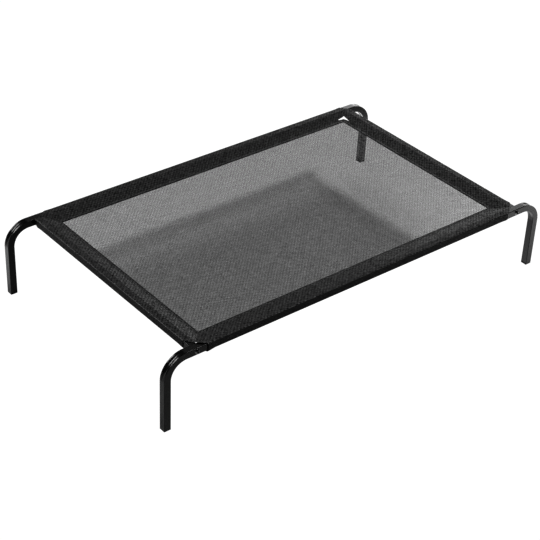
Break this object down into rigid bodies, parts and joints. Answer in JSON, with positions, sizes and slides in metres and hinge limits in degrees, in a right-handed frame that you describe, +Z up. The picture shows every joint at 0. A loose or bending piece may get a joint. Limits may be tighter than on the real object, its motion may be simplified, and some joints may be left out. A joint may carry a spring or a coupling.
{
  "type": "raised dog cot",
  "caption": "Raised dog cot: a taut see-through mesh sheet sewn in sleeves round a black square-tube steel frame that stands on bent tube legs.",
  "frame": {"origin": "on the floor, below the middle of the cot", "axes": "+X along the length to the right, +Y to the rear, +Z up"},
  "size_m": [1.301, 0.754, 0.216],
  "materials": {
    "powder_coat": "satin black powder coat",
    "foot_plastic": "moulded matt black",
    "black_bolt": "black oxide",
    "plated_steel": "zinc plated",
    "mesh": "open plain weave of coated yarn, single layer",
    "hem": "the same weave, doubled and sewn"
  },
  "bodies": {
    "root": {"front_rail": "powder_coat", "rear_rail": "powder_coat", "left_end_rail": "powder_coat", "right_end_rail": "powder_coat", "front_left_leg": "powder_coat", "front_right_leg": "powder_coat", "rear_left_leg": "powder_coat", "rear_right_leg": "powder_coat", "front_left_spigot": "powder_coat", "front_right_spigot": "powder_coat", "rear_left_spigot": "powder_coat", "rear_right_spigot": "powder_coat", "front_left_foot": "foot_plastic", "front_right_foot": "foot_plastic", "rear_left_foot": "foot_plastic", "rear_right_foot": "foot_plastic", "corner_bolts": "black_bolt", "end_rail_nuts": "plated_steel", "mesh_panel": "mesh", "front_hem": "hem", "rear_hem": "hem", "left_hem": "hem", "right_hem": "hem"}
  },
  "joints": []
}
